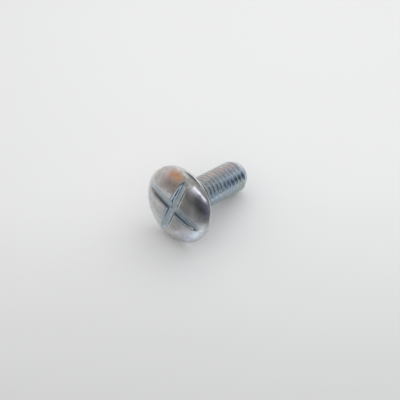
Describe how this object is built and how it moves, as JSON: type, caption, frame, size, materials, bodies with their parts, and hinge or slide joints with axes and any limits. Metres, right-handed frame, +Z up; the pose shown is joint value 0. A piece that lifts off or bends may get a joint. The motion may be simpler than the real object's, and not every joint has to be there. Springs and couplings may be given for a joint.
{
  "type": "machine screw",
  "caption": "Zinc-plated steel machine screw with a low mushroom head, a crossed straight slot, a plain neck and a coarse right-hand thread.",
  "frame": {"origin": "centre of the box's underside, on the surface that the screw lies on", "axes": "+X along the screw from the head to the tip, seen from above; +Y across it; +Z up"},
  "size_m": [0.0192, 0.0146, 0.0141],
  "materials": {
    "zinc_plate": "bright zinc plate with a faint blue and straw passivation tint"
  },
  "bodies": {
    "root": {"screw": "zinc_plate"}
  },
  "joints": []
}
